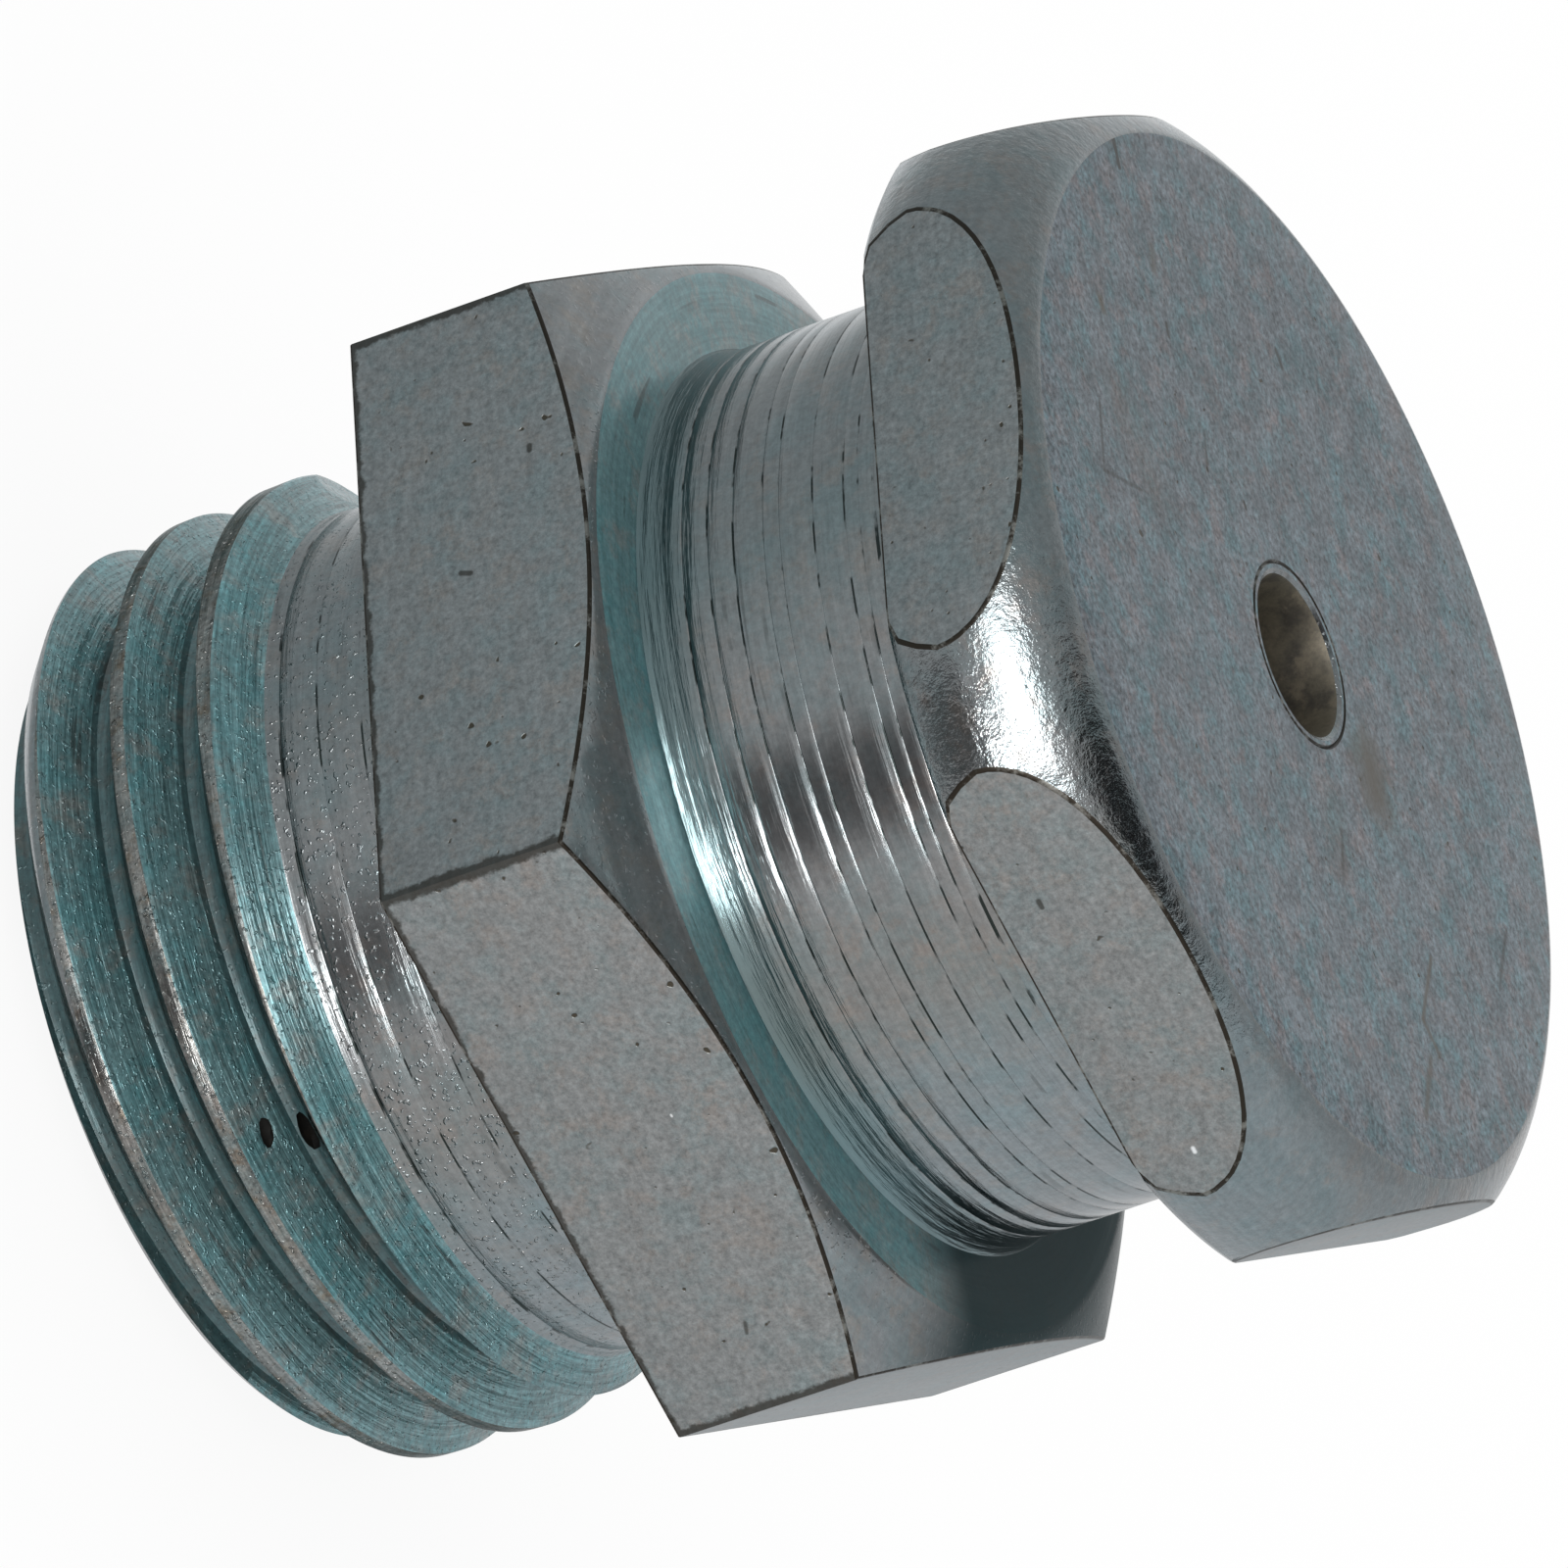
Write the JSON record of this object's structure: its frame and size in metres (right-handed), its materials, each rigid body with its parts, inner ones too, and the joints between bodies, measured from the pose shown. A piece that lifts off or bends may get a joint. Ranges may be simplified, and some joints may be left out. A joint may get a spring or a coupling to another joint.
{
  "type": "grease nipple",
  "caption": "Button-head grease nipple: hexagon collar, plain neck and flat rounded head, sprung ball valve inside, conical pipe thread below.",
  "frame": {"origin": "on the nipple's axis, in the plane of the hexagon collar's underside, where the threaded shank begins", "axes": "+Z along the axis from the thread to the button head; one corner of the hexagon points to -Y"},
  "size_m": [0.015, 0.0174, 0.0163],
  "materials": {
    "plated_steel": "bright zinc plating over turned steel, finely marked by handling",
    "hard_steel": "polished hardened steel",
    "spring_wire": "drawn spring wire"
  },
  "bodies": {
    "nipple": {"nipple_body": "plated_steel", "valve_spring": "spring_wire"},
    "ball": {"valve_ball": "hard_steel"}
  },
  "joints": [
    {"name": "ball_lift", "type": "slide", "parent": "nipple", "child": "ball", "axis": [0, 0, -1], "range_m": [0, 0.0025], "stiffness_N_per_m": 2050, "springref_m": -0.00075, "deforming": ["valve_spring"]}
  ]
}
